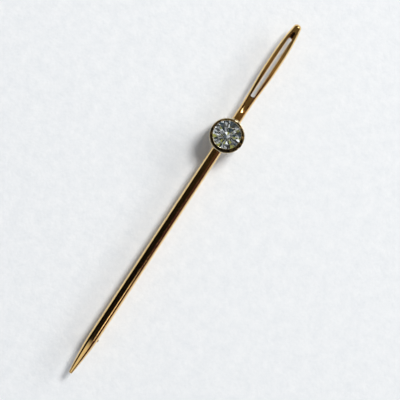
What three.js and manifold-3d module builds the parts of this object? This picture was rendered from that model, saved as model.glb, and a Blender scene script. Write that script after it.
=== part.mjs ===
// A gold bar pin made like a sewing needle, with one round brilliant in a rub-over collet.
// Millimetres. +X runs along the needle towards its head, +Z comes out of the stone's face, and the
// origin is under the middle of the needle, on the surface that the fittings at the back rest on.

import * as THREE from 'three';
import { mergeVertices } from 'three/addons/utils/BufferGeometryUtils.js';
import { ConvexGeometry } from 'three/addons/geometries/ConvexGeometry.js';
import Module from 'manifold-3d';

// ---- Driving dimensions ----

// Clearances
const SOLDER_GAP = 0.02; // between pieces that are soldered together
const RUNNING_GAP = 0.03; // on the radius, between pieces that turn
const SIDE_GAP = 0.02; // between knuckles, side by side
const STONE_GAP = 0.02; // around the stone in its setting

// The needle
const NEEDLE_LENGTH = 55;
const SHAFT_RADIUS = 0.71;
const TAPER_LENGTH = 5.5;
const SHOULDER_LENGTH = 1.9; // how far the taper stays almost as thick as the shaft
const SHOULDER_THINNING = 0.03;
const NOSE_RADIUS = 0.25;
const NOSE_LENGTH = 0.2;
const UNDER_SHAFT = 0.45; // from the shaft down to the tallest fitting

// The open eye
const HEAD_TO_EYE = 2.05;
const EYE_LENGTH = 9.25;
const EYE_HEAD_RADIUS = 0.24;
const EYE_FOOT_RADIUS = 0.25;
const EYE_HALF_WIDTH = 0.3;
const EYE_RAIL = 0.6; // metal on each side of the eye's widest part
const RUN_OUT_LENGTH = 2.3; // gutter that leads out of the eye's foot on both faces
const HEAD_RUN_OUT_LENGTH = 1; // the same at the eye's other end

// The head half around it
const HEAD_RADIUS = 0.55;
const HEAD_CAP = 0.5;
const BELLY_AT = 6.4; // head's tip to the widest part
const EYE_TO_NECK = 1.9;
const NECK_RADIUS = 0.63;
const NECK_LENGTH = 1.67; // straight part, up to the collet's wall
const HEAD_HALF_HEIGHT = 0.64; // above this the section is wider than it is high

// The stone
const STONE_RADIUS = 2.05;
const TABLE_SHARE = 0.57;
const CROWN_ANGLE = 34;
const PAVILION_ANGLE = 41;
const GIRDLE_THICKNESS = 0.09;
const STAR_SHARE = 0.5;
const LOWER_HALF_SHARE = 0.76;

// The collet
const WALL_THICKNESS = 0.26;
const RIM_OVER_GIRDLE = 0.33;
const LIP_OVERHANG = 0.2; // how far the rim is rubbed over the crown
const LIP_SLOPE = 0.9;
const RIM_ROUND = 0.16;
const SEAT_THICKNESS = 0.43;
const SEAT_HEIGHT = 0.95;
const SEAT_SLOPE = 0.92;
const BACK_OPENING_RADIUS = 1.25;
const BACK_THICKNESS = 0.3;
const UNDER_CULET = 0.65; // from the stone's lowest point to the back ring

// The joint
const JOINT_FROM_WALL = 1.27; // collet's wall to the rivet's axis
const KNUCKLE_RADIUS = 0.65;
const OUTER_KNUCKLE_WIDTH = 0.25;
const RIVET_RADIUS = 0.25;
const RIVET_HEAD_OVERHANG = 0.15;
const RIVET_HEAD_HEIGHT = 0.06;
const PLATE_LENGTH = 2;
const PLATE_WIDTH = 1.1;
const PLATE_CORNER = 0.25;
const PLATE_GROOVE = 0.1; // how deep the knuckles sit in the plate
const PLATE_WRAP = 0.2; // how far the plate wraps up round the shaft

// The pin stem
const STEM_RADIUS = 0.28;
const STEM_POINT_LENGTH = 6;
const STEM_POINT_RADIUS = 0.03;
const STEM_PAST_CATCH = 1.9; // catch's middle to the stem's sharp end

// The catch
const CATCH_FROM_POINT = 5.3; // needle's point to the catch's middle
const CATCH_LENGTH = 1.6;
const STEM_PLAY = 0.06; // around the stem where it enters the catch
const ROTOR_WALL = 0.15;
const ROTOR_TURN_GAP = 0.02;
const BARREL_WALL = 0.18;
const MOUTH_EASE = 0.03; // the barrel's mouth is wider than the rotor's by this on each side
const FOOT_WIDTH = 0.5;
const LEVER_WIDTH = 0.42;
const LEVER_THICKNESS = 0.24;
const LEVER_STANDS_OUT = 0.35; // from the barrel
const LEVER_OPEN_ANGLE = 212; // degrees about +X, from +Y
const LEVER_TRAVEL = 80;
const LEVER_SIDE_GAP = 0.04;
const LEVER_END_GAP = 4; // degrees left at the end of the slot
const LEVER_SLOT_END = 265; // degrees, inside the mouth

// Fineness of the round surfaces
const BAR_SIDES = 32;
const COLLET_SIDES = 48;
const SMALL_SIDES = 24;
const CURVE_STEPS = 7;

// ---- Sizes and places that follow from them ----

const radians = THREE.MathUtils.degToRad;
const tangent = (degrees) => Math.tan(radians(degrees));

// The pin stem's radius, at a distance from its sharp end.
function stemRadius(fromEnd) {
  const share = Math.max(0, 1 - fromEnd / STEM_POINT_LENGTH);
  return STEM_POINT_RADIUS + (STEM_RADIUS - STEM_POINT_RADIUS) * Math.sqrt(1 - share ** 2);
}

const rotorBore = stemRadius(STEM_PAST_CATCH + CATCH_LENGTH / 2) + STEM_PLAY;
const rotorRadius = rotorBore + ROTOR_WALL;
const barrelBore = rotorRadius + ROTOR_TURN_GAP;
const barrelRadius = barrelBore + BARREL_WALL;
const pinWidth = 2 * STEM_RADIUS + 2 * SIDE_GAP;
const jointHalfWidth = pinWidth / 2 + SIDE_GAP + OUTER_KNUCKLE_WIDTH;

// The object rests on whichever of the knuckles, the edges of the barrel's mouth and the lever is lowest.
const mouthHalf = rotorBore + MOUTH_EASE;
const barrelDrop = Math.sqrt(barrelRadius ** 2 - mouthHalf ** 2);
const leverReach = barrelRadius + LEVER_STANDS_OUT;
const leverDrop =
  -leverReach * Math.sin(radians(LEVER_OPEN_ANGLE)) -
  0.5 * LEVER_THICKNESS * Math.cos(radians(LEVER_OPEN_ANGLE));
const pinHeight = Math.max(KNUCKLE_RADIUS, barrelDrop, leverDrop);
const axisHeight = 2 * pinHeight + UNDER_SHAFT + SHAFT_RADIUS;

const bellyRadius = EYE_HALF_WIDTH + EYE_RAIL;
const eyeEnd = HEAD_TO_EYE + EYE_LENGTH;
const neckAt = eyeEnd + EYE_TO_NECK;

const stoneSeat = STONE_RADIUS + STONE_GAP;
const colletRadius = stoneSeat + WALL_THICKNESS;
const colletBase = axisHeight - SHAFT_RADIUS;
const culet = colletBase + BACK_THICKNESS + UNDER_CULET;
const girdleBottom = culet + STONE_RADIUS * tangent(PAVILION_ANGLE);
const girdleTop = girdleBottom + GIRDLE_THICKNESS;
const rimTop = girdleTop + RIM_OVER_GIRDLE;

const headX = NEEDLE_LENGTH / 2;
const pointX = -NEEDLE_LENGTH / 2;
const colletX = headX - neckAt - NECK_LENGTH - colletRadius;
const jointX = colletX - colletRadius - JOINT_FROM_WALL;
const catchX = pointX + CATCH_FROM_POINT;

// ---- Shared shape tools ----

const wasm = await Module();
wasm.setup();

const point = (radius, along) => new THREE.Vector2(radius, along);
// The point of a curve at each of a number of equal steps, without its first point.
function curvePoints(curve, steps = CURVE_STEPS) {
  return curve.getPoints(steps).slice(1);
}

// A quarter of an ellipse from one end of its arc to the other.
function quarter(centreRadius, centreAlong, halfRadius, halfAlong, from, to, steps = CURVE_STEPS) {
  const clockwise = to < from;
  return curvePoints(
    new THREE.EllipseCurve(centreRadius, centreAlong, halfRadius, halfAlong, from, to, clockwise),
    steps,
  );
}

// Shared corners joined, flat slivers dropped and every face pointing out.
function closed(geometry) {
  const bare = geometry.clone();
  for (const name of Object.keys(bare.attributes)) {
    if (name !== 'position') bare.deleteAttribute(name);
  }
  const merged = mergeVertices(bare, 1e-5);
  const place = merged.attributes.position;
  const corner = (i) => new THREE.Vector3().fromBufferAttribute(place, i);
  const faces = [];
  let volume = 0;
  for (let i = 0; i < merged.index.count; i += 3) {
    const [a, b, c] = [0, 1, 2].map((k) => merged.index.getX(i + k));
    if (a === b || b === c || c === a) continue;
    faces.push([a, b, c]);
    volume += corner(a).dot(corner(b).cross(corner(c)));
  }
  const ordered = volume < 0 ? faces.map(([a, b, c]) => [a, c, b]) : faces;
  merged.setIndex(ordered.flat());
  return merged;
}

function solid(geometry) {
  const shell = closed(geometry);
  const mesh = new wasm.Mesh({
    numProp: 3,
    vertProperties: new Float32Array(shell.attributes.position.array),
    triVerts: new Uint32Array(shell.index.array),
  });
  return new wasm.Manifold(mesh);
}

function geometryOf(manifold) {
  const mesh = manifold.getMesh();
  const geometry = new THREE.BufferGeometry();
  geometry.setAttribute('position', new THREE.BufferAttribute(mesh.vertProperties, 3));
  geometry.setIndex(new THREE.BufferAttribute(mesh.triVerts, 1));
  return geometry;
}

// A turned shape: the outline's points are radius and distance along the axis.
function turned(outline, axis, sides) {
  const geometry = new THREE.LatheGeometry(outline, sides);
  if (axis === 'x') geometry.rotateZ(-Math.PI / 2);
  if (axis === 'z') geometry.rotateX(Math.PI / 2);
  return geometry;
}

function rod(radius, from, to, axis, sides = SMALL_SIDES) {
  return turned([point(0, from), point(radius, from), point(radius, to), point(0, to)], axis, sides);
}

function tube(outer, inner, from, to, axis, sides = SMALL_SIDES) {
  const outline = [point(inner, from), point(outer, from), point(outer, to), point(inner, to)];
  return turned([...outline, outline[0]], axis, sides);
}

// A flat outline given thickness from one height to another.
function plate(shape, from, to, curveSegments = 8) {
  const options = { depth: to - from, bevelEnabled: false, curveSegments };
  return new THREE.ExtrudeGeometry(shape, options).translate(0, 0, from);
}

function roundedRectangle(centreX, length, width, corner) {
  const [x0, x1] = [centreX - length / 2, centreX + length / 2];
  const y = width / 2;
  const shape = new THREE.Shape();
  shape.absarc(x1 - corner, y - corner, corner, 0, Math.PI / 2);
  shape.absarc(x0 + corner, y - corner, corner, Math.PI / 2, Math.PI);
  shape.absarc(x0 + corner, corner - y, corner, Math.PI, 1.5 * Math.PI);
  shape.absarc(x1 - corner, corner - y, corner, 1.5 * Math.PI, 2 * Math.PI);
  return shape;
}

// ---- Materials ----

const yellowGold = { color: 0xc79a4b, roughness: 0.18, metalness: 1 };
const paleGold = { color: 0xd8cfae, roughness: 0.12, metalness: 1 };
const hardGold = { color: 0xb98f4e, roughness: 0.25, metalness: 1 };
const stoneClear = { color: 0xdfe8ea, roughness: 0.02, metalness: 0 };

const pin = new THREE.Group();

function add(name, geometry, finish) {
  const mesh = new THREE.Mesh(geometry, new THREE.MeshStandardMaterial(finish));
  mesh.name = name;
  pin.add(mesh);
}

// ---- The needle: two bars soldered to opposite sides of the collet ----

// The collet's outside, which both bars' ends are filed hollow to fit.
const colletSeat = solid(
  rod(colletRadius + SOLDER_GAP, 0, axisHeight + rimTop, 'z', COLLET_SIDES).translate(colletX, 0, 0),
);

// Half the width of the head half, at a distance from the head's tip.
function headHalfWidth(fromTip) {
  if (fromTip >= neckAt) return NECK_RADIUS;
  if (fromTip >= BELLY_AT) {
    const share = (fromTip - BELLY_AT) / (neckAt - BELLY_AT);
    return NECK_RADIUS + (bellyRadius - NECK_RADIUS) * 0.5 * (1 + Math.cos(Math.PI * share));
  }
  const share = (fromTip - HEAD_CAP) / (BELLY_AT - HEAD_CAP);
  return bellyRadius - (bellyRadius - HEAD_RADIUS) * (1 - share) ** 3;
}

function headHalf() {
  const outline = [point(0, colletX), point(NECK_RADIUS, colletX)];
  const steps = 3 * CURVE_STEPS;
  for (let i = 0; i <= steps; i += 1) {
    const fromTip = neckAt + ((HEAD_CAP - neckAt) * i) / steps;
    outline.push(point(headHalfWidth(fromTip), headX - fromTip));
  }
  outline.push(...quarter(0, headX - HEAD_CAP, HEAD_RADIUS, HEAD_CAP, 0, Math.PI / 2));
  const bar = turned(outline, 'x', BAR_SIDES);
  const place = bar.attributes.position;
  for (let i = 0; i < place.count; i += 1) {
    const fromTip = headX - place.getX(i);
    const squeeze = fromTip > HEAD_CAP ? Math.min(1, HEAD_HALF_HEIGHT / headHalfWidth(fromTip)) : 1;
    place.setZ(i, place.getZ(i) * squeeze + axisHeight);
  }
  return bar;
}

// The eye's outline seen from the front: round ends joined by two gently bowed sides.
function eyeShape() {
  const top = headX - HEAD_TO_EYE - EYE_HEAD_RADIUS;
  const foot = headX - eyeEnd + EYE_FOOT_RADIUS;
  const bow = 2 * EYE_HALF_WIDTH - (EYE_HEAD_RADIUS + EYE_FOOT_RADIUS) / 2;
  const shape = new THREE.Shape();
  shape.absarc(top, 0, EYE_HEAD_RADIUS, -Math.PI / 2, Math.PI / 2);
  shape.quadraticCurveTo((top + foot) / 2, bow, foot, EYE_FOOT_RADIUS);
  shape.absarc(foot, 0, EYE_FOOT_RADIUS, Math.PI / 2, 1.5 * Math.PI);
  shape.quadraticCurveTo((top + foot) / 2, -bow, top, -EYE_HEAD_RADIUS);
  return shape;
}

// One gutter: a round-ended channel that starts at an end of the eye and leans away from it.
function runOut(face, endX, side, run, radius) {
  const length = run + 3 * radius;
  const shape = roundedRectangle(endX - (side * length) / 2, length, 2 * radius, 0.999 * radius);
  const depth = 1.4 * HEAD_HALF_HEIGHT;
  const channel = plate(shape, 0, depth);
  const lean = (side * run) / HEAD_HALF_HEIGHT;
  channel.applyMatrix4(new THREE.Matrix4().makeShear(0, 0, 0, 0, lean, 0));
  if (face < 0) channel.scale(1, 1, -1);
  return channel.translate(0, 0, axisHeight);
}

let eyeHole = solid(plate(eyeShape(), axisHeight - 2 * bellyRadius, axisHeight + 2 * bellyRadius, 10));
for (const face of [1, -1]) {
  eyeHole = eyeHole
    .add(solid(runOut(face, headX - eyeEnd, -1, RUN_OUT_LENGTH, EYE_FOOT_RADIUS)))
    .add(solid(runOut(face, headX - HEAD_TO_EYE, 1, HEAD_RUN_OUT_LENGTH, EYE_HEAD_RADIUS)));
}

add('eye_bar', geometryOf(solid(headHalf()).subtract(colletSeat).subtract(eyeHole)), yellowGold);

// The plain half: a round rod drawn down to a blunt point.
function shaftRod(extra = 0) {
  const taperX = pointX + TAPER_LENGTH;
  const taper = new THREE.QuadraticBezierCurve(
    point(SHAFT_RADIUS + extra, taperX),
    point(SHAFT_RADIUS - SHOULDER_THINNING + extra, taperX - SHOULDER_LENGTH),
    point(NOSE_RADIUS + extra, pointX + NOSE_LENGTH),
  );
  const outline = [
    point(0, colletX),
    point(SHAFT_RADIUS + extra, colletX),
    point(SHAFT_RADIUS + extra, taperX),
    ...curvePoints(taper, 2 * CURVE_STEPS),
    ...quarter(0, pointX + NOSE_LENGTH, NOSE_RADIUS + extra, NOSE_LENGTH + extra, 0, -Math.PI / 2),
  ];
  return solid(turned(outline, 'x', BAR_SIDES).translate(0, 0, axisHeight));
}

add('shaft', geometryOf(shaftRod().subtract(colletSeat)), yellowGold);

// What is soldered under the shaft is filed hollow to this.
const shaftSeat = shaftRod(SOLDER_GAP);

// ---- The collet ----

// A straight tube whose rounded rim is rubbed over the stone's crown.
function colletWall() {
  const lip = STONE_RADIUS - LIP_OVERHANG;
  const lipFoot = girdleTop + STONE_GAP + LIP_SLOPE * (stoneSeat - lip);
  const lipRound = (rimTop - lipFoot) * 0.8;
  const outline = [
    point(stoneSeat, colletBase),
    point(colletRadius, colletBase),
    point(colletRadius, rimTop - RIM_ROUND),
    ...quarter(colletRadius - RIM_ROUND, rimTop - RIM_ROUND, RIM_ROUND, RIM_ROUND, 0, Math.PI / 2, 4),
    point(lip + lipRound, rimTop),
    ...quarter(lip + lipRound, rimTop - lipRound, lipRound, lipRound, Math.PI / 2, Math.PI, 3),
    point(lip, lipFoot),
    point(stoneSeat, girdleTop + STONE_GAP),
    point(stoneSeat, colletBase),
  ];
  return turned(outline, 'z', COLLET_SIDES).translate(colletX, 0, 0);
}

// The bearing: a ring soldered inside the wall, bevelled to carry the pavilion.
function seatRing() {
  const outer = stoneSeat - SOLDER_GAP;
  const inner = outer - SEAT_THICKNESS;
  const top = girdleBottom - 2 * STONE_GAP;
  const outline = [
    point(inner, top - SEAT_HEIGHT),
    point(outer, top - SEAT_HEIGHT),
    point(outer, top),
    point(inner, top - SEAT_SLOPE * SEAT_THICKNESS),
    point(inner, top - SEAT_HEIGHT),
  ];
  return turned(outline, 'z', COLLET_SIDES).translate(colletX, 0, 0);
}

function backRing() {
  const outer = stoneSeat - SOLDER_GAP;
  const ring = tube(outer, BACK_OPENING_RADIUS, colletBase, colletBase + BACK_THICKNESS, 'z', COLLET_SIDES);
  return ring.translate(colletX, 0, 0);
}

add('collet_wall', closed(colletWall()), paleGold);
add('seat_ring', closed(seatRing()), yellowGold);
add('back_ring', closed(backRing()), yellowGold);

// A round brilliant: table, 8 stars, 8 kites and 16 halves above the girdle, 8 mains and 16 halves below.
// Each kite and main lies in one plane at its own angle, which fixes the corners that it shares.
function brilliant() {
  const table = TABLE_SHARE * STONE_RADIUS;
  const starFoot = table * Math.cos(Math.PI / 8);
  const starTip = starFoot + STAR_SHARE * (STONE_RADIUS - starFoot);
  const halfTip = (1 - LOWER_HALF_SHARE) * STONE_RADIUS;
  const crown = (reach) => girdleTop + (STONE_RADIUS - reach) * tangent(CROWN_ANGLE);
  const pavilion = (reach) => girdleBottom - (STONE_RADIUS - reach) * tangent(PAVILION_ANGLE);
  const half = Math.cos(Math.PI / 8);
  const corners = [new THREE.Vector3(0, 0, pavilion(0))];
  const ring = (radius, turn, height) => {
    corners.push(new THREE.Vector3(radius * Math.cos(turn), radius * Math.sin(turn), height));
  };
  for (let k = 0; k < 8; k += 1) {
    const turn = (k * Math.PI) / 4;
    ring(table, turn, crown(table));
    ring(starTip, turn + Math.PI / 8, crown(starTip * half));
    ring(halfTip, turn + Math.PI / 8, pavilion(halfTip * half));
    for (const step of [turn, turn + Math.PI / 8]) {
      ring(STONE_RADIUS, step, girdleTop);
      ring(STONE_RADIUS, step, girdleBottom);
    }
  }
  return new ConvexGeometry(corners).translate(colletX, 0, 0);
}

add('diamond', closed(brilliant()), stoneClear);

// ---- The joint: three short tubes on a saddle, with a rivet through them ----

const atPinHeight = (geometry, x) => geometry.translate(x, 0, pinHeight);

function jointPlate() {
  const shape = roundedRectangle(jointX, PLATE_LENGTH, PLATE_WIDTH, PLATE_CORNER);
  const block = plate(shape, pinHeight + KNUCKLE_RADIUS - PLATE_GROOVE, colletBase + PLATE_WRAP, 5);
  const seat = atPinHeight(rod(KNUCKLE_RADIUS + SOLDER_GAP, -PLATE_WIDTH, PLATE_WIDTH, 'y'), jointX);
  return geometryOf(solid(block).subtract(shaftSeat).subtract(solid(seat)));
}

function outerKnuckle(side) {
  const inside = side * (jointHalfWidth - OUTER_KNUCKLE_WIDTH);
  const outside = side * jointHalfWidth;
  return atPinHeight(tube(KNUCKLE_RADIUS, RIVET_RADIUS + SOLDER_GAP, inside, outside, 'y'), jointX);
}

function stemKnuckle() {
  const radius = KNUCKLE_RADIUS - RUNNING_GAP;
  return atPinHeight(tube(radius, RIVET_RADIUS + RUNNING_GAP, -pinWidth / 2, pinWidth / 2, 'y'), jointX);
}

// A wire with a domed head hammered up at each end.
function rivet() {
  const seat = jointHalfWidth + SOLDER_GAP;
  const headRadius = RIVET_RADIUS + RIVET_HEAD_OVERHANG;
  const head = (side, from, to) =>
    quarter(0, side * seat, headRadius, RIVET_HEAD_HEIGHT, from, to, 4);
  const outline = [
    point(0, -seat - RIVET_HEAD_HEIGHT),
    ...head(-1, -Math.PI / 2, 0),
    point(RIVET_RADIUS, -seat),
    point(RIVET_RADIUS, seat),
    point(headRadius, seat),
    ...head(1, 0, Math.PI / 2),
  ];
  return atPinHeight(turned(outline, 'y', SMALL_SIDES), jointX);
}

add('joint_plate', jointPlate(), yellowGold);
add('knuckle_left', closed(outerKnuckle(1)), yellowGold);
add('knuckle_right', closed(outerKnuckle(-1)), yellowGold);
add('stem_knuckle', closed(stemKnuckle()), hardGold);
add('joint_rivet', closed(rivet()), hardGold);

// ---- The pin stem: a straight wire filed to a long sharp point ----

function pinStem() {
  const tipX = catchX - STEM_PAST_CATCH;
  const outline = [point(0, jointX), point(STEM_RADIUS, jointX)];
  for (let i = 0; i <= CURVE_STEPS; i += 1) {
    const fromEnd = STEM_POINT_LENGTH * (1 - i / CURVE_STEPS);
    outline.push(point(stemRadius(fromEnd), tipX + fromEnd));
  }
  outline.push(point(0, tipX));
  const wire = atPinHeight(turned(outline, 'x', 24), 0);
  const seatRadius = KNUCKLE_RADIUS - RUNNING_GAP + SOLDER_GAP;
  const seat = atPinHeight(rod(seatRadius, -pinWidth, pinWidth, 'y'), jointX);
  return geometryOf(solid(wire).subtract(solid(seat)));
}

add('pin_stem', pinStem(), hardGold);

// ---- The safety catch: an outer C, and an inner C that a small lever turns to close the mouth ----

const catchFrom = catchX - CATCH_LENGTH / 2;
const catchTo = catchX + CATCH_LENGTH / 2;

// A round-bottomed channel open downwards, as wide as the mouth.
function mouth(width) {
  const shape = roundedRectangle(catchX, 2 * CATCH_LENGTH, width, 0.01);
  return solid(plate(shape, -barrelRadius, pinHeight));
}

// The slot that the lever travels in. It runs out into the mouth.
function leverSlot() {
  const reach = 2 * barrelRadius;
  const edge = (Math.asin(LEVER_THICKNESS / 2 / (barrelBore)) * 180) / Math.PI;
  const from = radians(LEVER_OPEN_ANGLE - LEVER_TRAVEL - edge - LEVER_END_GAP);
  const shape = new THREE.Shape();
  shape.moveTo(0, 0);
  shape.lineTo(reach * Math.cos(from), reach * Math.sin(from));
  shape.absarc(0, 0, reach, from, radians(LEVER_SLOT_END));
  shape.closePath();
  const width = LEVER_WIDTH + 2 * LEVER_SIDE_GAP;
  const wedge = plate(shape, -width / 2, width / 2, 16);
  wedge.rotateY(Math.PI / 2);
  wedge.rotateX(Math.PI / 2);
  return solid(atPinHeight(wedge, catchX));
}

function catchBarrel() {
  const pipe = atPinHeight(tube(barrelRadius, barrelBore, catchFrom, catchTo, 'x', 48), 0);
  return geometryOf(solid(pipe).subtract(mouth(2 * mouthHalf)).subtract(leverSlot()));
}

function catchRotor() {
  const pipe = atPinHeight(tube(rotorRadius, rotorBore, catchFrom, catchTo, 'x', 48), 0);
  return geometryOf(solid(pipe).subtract(mouth(2 * rotorBore)));
}

// A tab with a rounded thumb edge, standing out of the rotor through the slot.
function catchLever() {
  const half = LEVER_WIDTH / 2;
  const foot = rotorRadius + SOLDER_GAP;
  const shape = new THREE.Shape();
  shape.moveTo(-half, foot);
  shape.lineTo(half, foot);
  shape.absarc(0, leverReach - half, half, 0, Math.PI);
  const tab = plate(shape, -LEVER_THICKNESS / 2, LEVER_THICKNESS / 2);
  tab.rotateX(radians(LEVER_OPEN_ANGLE));
  return closed(atPinHeight(tab, catchX));
}

function catchFoot() {
  const shape = roundedRectangle(catchX, CATCH_LENGTH, FOOT_WIDTH, 0.1);
  const block = plate(shape, pinHeight, axisHeight, 4);
  const barrelSeat = atPinHeight(
    rod(barrelRadius + SOLDER_GAP, catchFrom - 1, catchTo + 1, 'x', 48),
    0,
  );
  return geometryOf(solid(block).subtract(shaftSeat).subtract(solid(barrelSeat)));
}

add('catch_foot', catchFoot(), yellowGold);
add('catch_barrel', catchBarrel(), yellowGold);
add('catch_rotor', catchRotor(), hardGold);
add('catch_lever', catchLever(), hardGold);

export default pin;
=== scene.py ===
import math
import bpy
from mathutils import Matrix, Vector


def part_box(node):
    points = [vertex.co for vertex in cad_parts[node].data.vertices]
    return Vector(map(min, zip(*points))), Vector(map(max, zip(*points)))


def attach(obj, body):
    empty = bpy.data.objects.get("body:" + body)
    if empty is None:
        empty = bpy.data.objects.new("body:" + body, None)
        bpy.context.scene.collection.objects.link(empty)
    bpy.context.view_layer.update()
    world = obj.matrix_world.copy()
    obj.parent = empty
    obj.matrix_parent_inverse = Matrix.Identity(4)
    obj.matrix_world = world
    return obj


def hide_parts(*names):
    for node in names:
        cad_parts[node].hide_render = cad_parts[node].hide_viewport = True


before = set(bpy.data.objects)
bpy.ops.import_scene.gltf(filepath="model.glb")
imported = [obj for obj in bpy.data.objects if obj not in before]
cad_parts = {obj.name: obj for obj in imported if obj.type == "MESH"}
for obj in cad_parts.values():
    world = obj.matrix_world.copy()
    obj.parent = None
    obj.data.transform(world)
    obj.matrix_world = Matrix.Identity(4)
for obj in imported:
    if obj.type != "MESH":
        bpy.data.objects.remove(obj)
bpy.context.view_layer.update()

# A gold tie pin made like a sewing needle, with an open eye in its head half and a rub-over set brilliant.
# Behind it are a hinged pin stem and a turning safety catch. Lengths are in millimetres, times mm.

mm = 0.001


# The shaft: the plain half of the needle.
# A round 18-carat rod, drawn straight, filed down to a blunt point over its last few millimetres and
# polished along its length. Its thick end is filed hollow to fit the collet.

def deselect():
    if bpy.context.mode != "OBJECT":
        bpy.ops.object.mode_set(mode="OBJECT")
    bpy.ops.object.select_all(action="DESELECT")


def keep_place():
    """Puts the shaped object's place into its mesh, so that its origin is the needle's own."""
    bpy.ops.object.transform_apply(location=True, rotation=True, scale=True)


def cleaned(piece, smooth_angle=38):
    """Joins shared corners, turns every face outwards and shades smooth except across real edges."""
    bpy.context.view_layer.objects.active = piece
    bpy.ops.object.mode_set(mode="EDIT")
    bpy.ops.mesh.select_all(action="SELECT")
    bpy.ops.mesh.remove_doubles(threshold=3e-7)
    bpy.ops.mesh.dissolve_degenerate(threshold=1e-8)
    bpy.ops.mesh.normals_make_consistent(inside=False)
    bpy.ops.object.mode_set(mode="OBJECT")
    piece.select_set(True)
    bpy.ops.object.shade_smooth_by_angle(angle=math.radians(smooth_angle))
    return piece


def drawn_rod(name, stations, height, sides=96):
    """A round rod along X: each station is a place along the needle and the radius there."""
    deselect()
    start, radius = stations[0]
    bpy.ops.mesh.primitive_circle_add(
        vertices=sides, radius=radius, fill_type="NGON",
        location=(start, 0, height), rotation=(0, math.pi / 2, 0))
    rod = bpy.context.object
    rod.name = name
    keep_place()
    bpy.ops.object.mode_set(mode="EDIT")
    bpy.ops.mesh.select_all(action="SELECT")
    for (x0, r0), (x1, r1) in zip(stations, stations[1:]):
        bpy.ops.mesh.extrude_region_move(TRANSFORM_OT_translate={"value": (x1 - x0, 0, 0)})
        bpy.ops.transform.resize(value=(1, r1 / r0, r1 / r0), center_override=(x1, 0, height))
    bpy.ops.object.mode_set(mode="OBJECT")
    return cleaned(rod)


def curve_point(t, start, middle, end):
    """A point of a curve that is pulled towards its middle point, at a share t of the way along."""
    return (1 - t) ** 2 * start + 2 * t * (1 - t) * middle + t ** 2 * end


def coped(rod, centre_x, radius, near, side):
    """Files a rod's end hollow to fit an upright round wall: the end near the wall follows its curve."""
    for v in rod.data.vertices:
        if abs(v.co.x - near) < 1e-6:
            v.co.x = centre_x + side * math.sqrt(radius ** 2 - v.co.y ** 2)
    return rod


wall_low, wall_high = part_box("collet_wall")
collet_x = (wall_low.x + wall_high.x) / 2
collet_radius = (wall_high.x - wall_low.x) / 2
solder_gap = 0.02 * mm

shaft_low, shaft_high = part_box("shaft")
shaft_radius = shaft_high.y
axis_z = (shaft_low.z + shaft_high.z) / 2
point_x = shaft_low.x
taper_x = point_x + 5.5 * mm
shoulder_length = 1.9 * mm
shoulder_thinning = 0.03 * mm
nose_radius = 0.25 * mm
nose_length = 0.2 * mm
blunt_end = 0.004 * mm

shaft_end = collet_x - collet_radius - solder_gap
shaft_stations = [(shaft_end, shaft_radius)]
shaft_stations += [(shaft_end + (taper_x - shaft_end) * i / 12, shaft_radius) for i in range(1, 13)]
for i in range(1, 25):
    t = i / 24
    x = curve_point(t, taper_x, taper_x - shoulder_length, point_x + nose_length)
    r = curve_point(t, shaft_radius, shaft_radius - shoulder_thinning, nose_radius)
    shaft_stations.append((x, r))
for i in range(1, 9):
    turn = math.pi / 2 * i / 8
    shaft_stations.append(
        (point_x + nose_length * (1 - math.sin(turn)), max(nose_radius * math.cos(turn), blunt_end)))

shaft = drawn_rod("needle_shaft", shaft_stations, axis_z)
coped(shaft, collet_x, collet_radius + solder_gap, shaft_end, -1)


def value_node(nodes, kind, **inputs):
    """A shading node with some of its inputs set."""
    node = nodes.new(kind)
    for name, value in inputs.items():
        node.inputs[name.replace("_", " ")].default_value = value
    return node


def make_polish_marks():
    """What buffed gold shows close up: fine lines left by the mop, and thin cloudy handling marks."""
    group = bpy.data.node_groups.new("polish_marks", "ShaderNodeTree")
    sockets = group.interface
    sockets.new_socket(name="Place", in_out="INPUT", socket_type="NodeSocketVector")
    for name, value in (("Gloss", 0.1), ("Cloud", 0.06), ("Line Size", 9000.0), ("Cloud Size", 900.0)):
        sockets.new_socket(name=name, in_out="INPUT", socket_type="NodeSocketFloat").default_value = value
    for name in ("Roughness", "Height", "Dulled"):
        sockets.new_socket(name=name, in_out="OUTPUT", socket_type="NodeSocketFloat")
    nodes, links = group.nodes, group.links
    inside = nodes.new("NodeGroupInput")
    outside = nodes.new("NodeGroupOutput")

    lines = value_node(nodes, "ShaderNodeTexNoise", Detail=4.0, Roughness=0.6)
    clouds = value_node(nodes, "ShaderNodeTexNoise", Detail=3.0, Roughness=0.55)
    for noise, size in ((lines, "Line Size"), (clouds, "Cloud Size")):
        links.new(inside.outputs["Place"], noise.inputs["Vector"])
        links.new(inside.outputs[size], noise.inputs["Scale"])
    dulled = value_node(nodes, "ShaderNodeMapRange", From_Min=0.45, From_Max=0.72)
    links.new(clouds.outputs["Fac"], dulled.inputs["Value"])
    haze = nodes.new("ShaderNodeMath")
    haze.operation = "MULTIPLY_ADD"
    links.new(dulled.outputs["Result"], haze.inputs[0])
    links.new(inside.outputs["Cloud"], haze.inputs[1])
    links.new(inside.outputs["Gloss"], haze.inputs[2])
    streak = nodes.new("ShaderNodeMath")
    streak.operation = "MULTIPLY_ADD"
    streak.inputs[1].default_value = 0.05
    links.new(lines.outputs["Fac"], streak.inputs[0])
    links.new(haze.outputs["Value"], streak.inputs[2])
    links.new(streak.outputs["Value"], outside.inputs["Roughness"])
    links.new(lines.outputs["Fac"], outside.inputs["Height"])
    links.new(dulled.outputs["Result"], outside.inputs["Dulled"])
    return group


polish_marks = make_polish_marks()


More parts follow.
